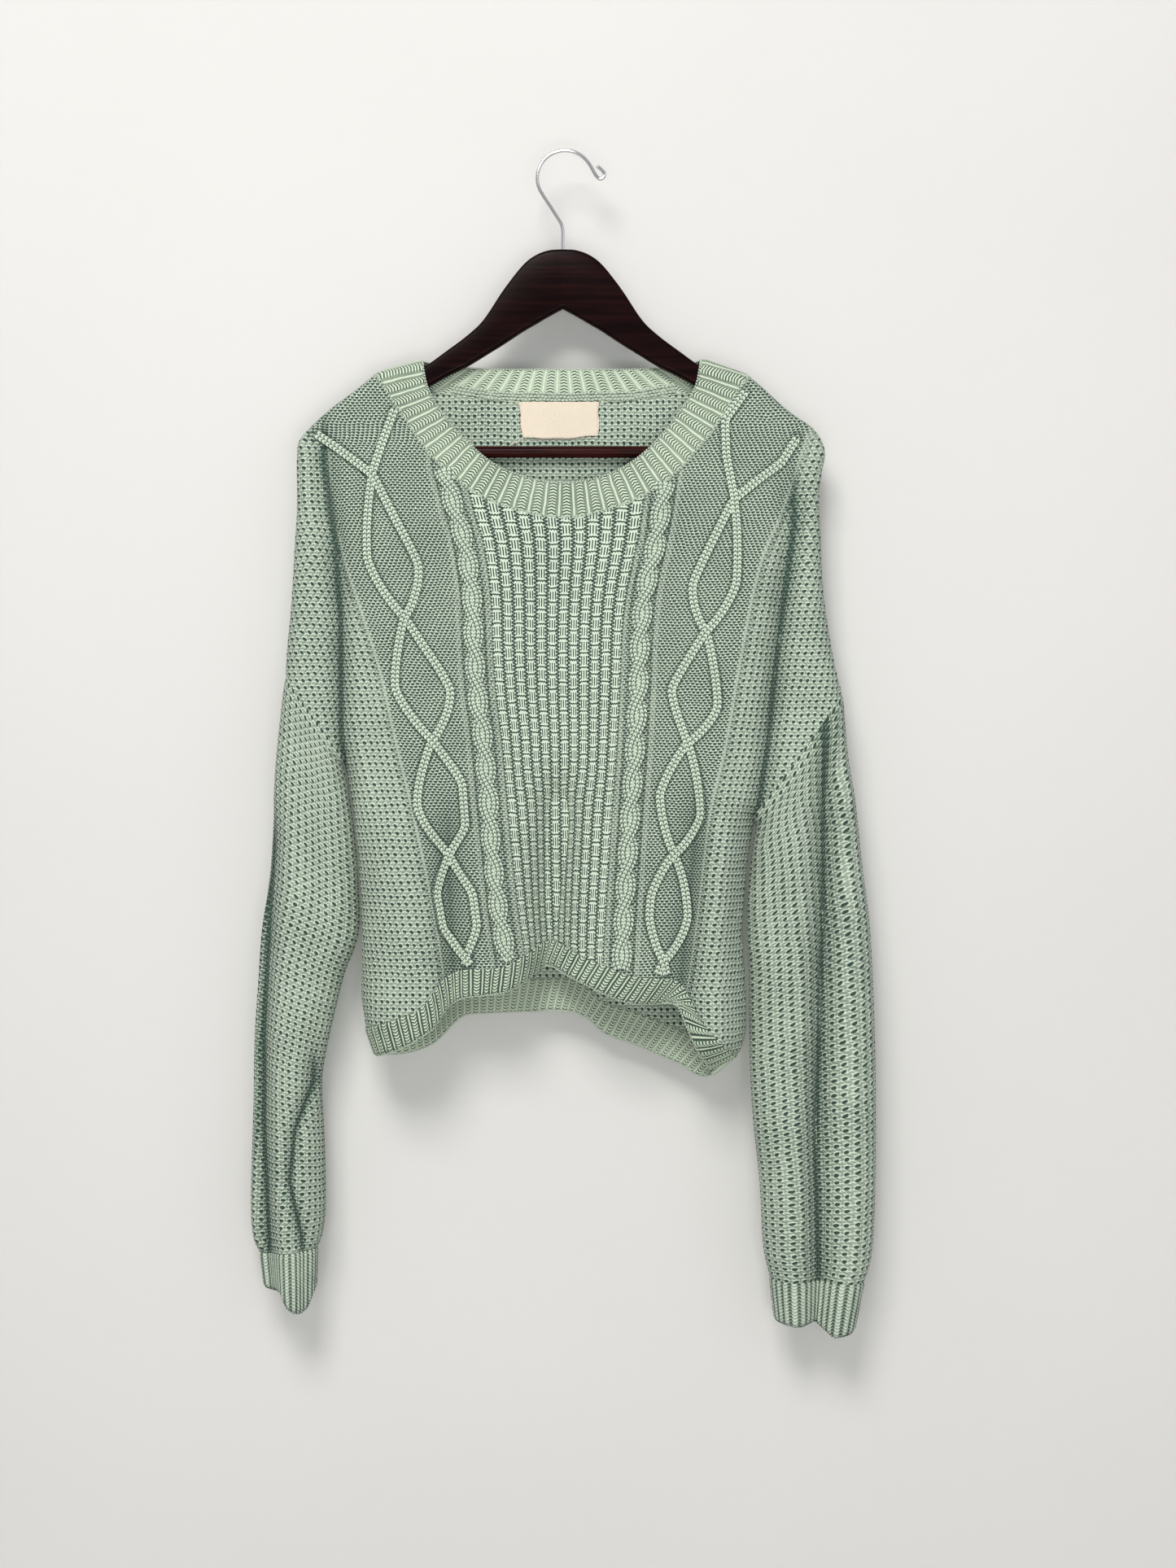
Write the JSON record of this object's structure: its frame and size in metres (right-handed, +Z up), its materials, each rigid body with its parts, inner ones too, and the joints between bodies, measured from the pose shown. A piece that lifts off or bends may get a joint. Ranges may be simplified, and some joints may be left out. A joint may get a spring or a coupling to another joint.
{
  "type": "cropped knit sweater on a hanger",
  "caption": "Cropped long-sleeved cable-knit sweater with ribbed neckband, hem and cuffs, hung flat on a wooden hanger with a trouser bar and a steel hook.",
  "frame": {"origin": "inner top of the hook, where the hanger hangs", "axes": "+Z up, the garment's front faces -Y, its left edge seen from the front is at -X"},
  "size_m": [0.5367, 0.0667, 1.0176],
  "materials": {
    "knit_front_panel": "matt cotton knit",
    "knit_back_panel": "matt cotton knit",
    "knit_neckband": "matt cotton knit",
    "knit_hem_front": "matt cotton knit",
    "knit_hem_back": "matt cotton knit",
    "knit_sleeve_left": "matt cotton knit",
    "knit_sleeve_right": "matt cotton knit",
    "knit_cuff_left": "matt cotton knit",
    "knit_cuff_right": "matt cotton knit",
    "label_cotton": "matt woven cotton",
    "hanger_wood": "dark lacquered",
    "bar_wood": "dark red-brown lacquered",
    "hook_steel": "polished"
  },
  "bodies": {
    "root": {"front_panel": "knit_front_panel", "back_panel": "knit_back_panel", "neckband": "knit_neckband", "hem_front": "knit_hem_front", "hem_back": "knit_hem_back", "sleeve_left": "knit_sleeve_left", "sleeve_right": "knit_sleeve_right", "cuff_left": "knit_cuff_left", "cuff_right": "knit_cuff_right", "neck_label": "label_cotton", "hanger_body": "hanger_wood", "hanger_bar": "bar_wood", "hanger_hook": "hook_steel"}
  },
  "joints": []
}
